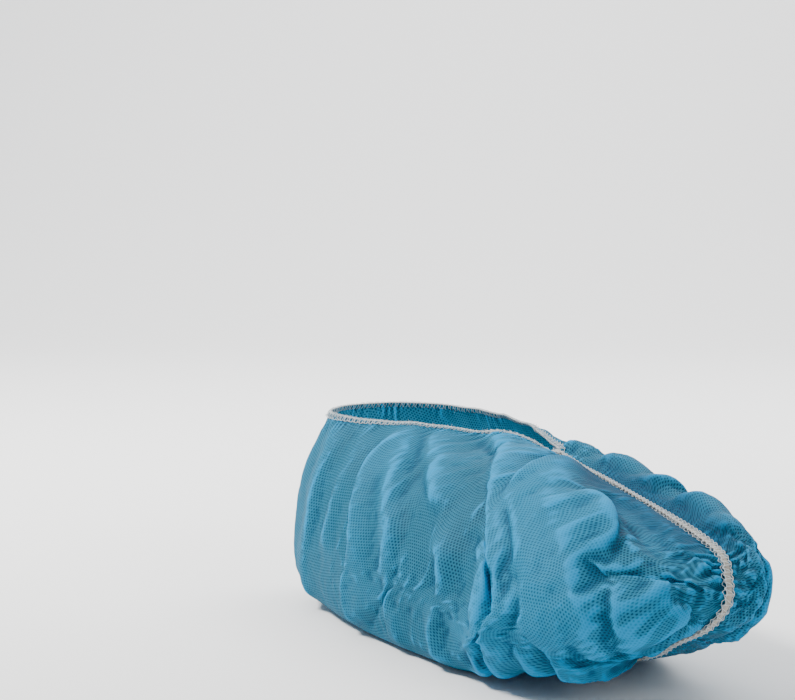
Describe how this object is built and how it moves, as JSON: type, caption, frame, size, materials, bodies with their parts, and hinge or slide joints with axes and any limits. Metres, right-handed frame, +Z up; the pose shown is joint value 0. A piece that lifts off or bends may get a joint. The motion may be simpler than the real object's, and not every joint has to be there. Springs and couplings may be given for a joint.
{
  "type": "disposable shoe cover",
  "caption": "Disposable nonwoven cloth cover worn over a shoe, with an elastic ankle hem, a sole elastic and a gathered toe seam.",
  "frame": {"origin": "bottom centre of the cover's bounding box, on the surface that the sole rests on", "axes": "+X along the cover's length towards the toe, +Y across it towards the wearer's left, +Z up out of the ankle opening"},
  "size_m": [0.3262, 0.1292, 0.1025],
  "materials": {
    "nonwoven_cloth": "translucent light blue spunbonded nonwoven with embossed dots",
    "hem_thread": "pale overlock thread over thin elastic, with the blue cloth showing between stitches",
    "elastic_tape": "matt off-white ribbed elastic tape",
    "seam_thread": "off-white elastic under overlock thread"
  },
  "bodies": {
    "root": {"cloth_cover": "nonwoven_cloth", "hem_elastic": "hem_thread", "sole_tape": "elastic_tape", "toe_seam": "seam_thread"}
  },
  "joints": []
}
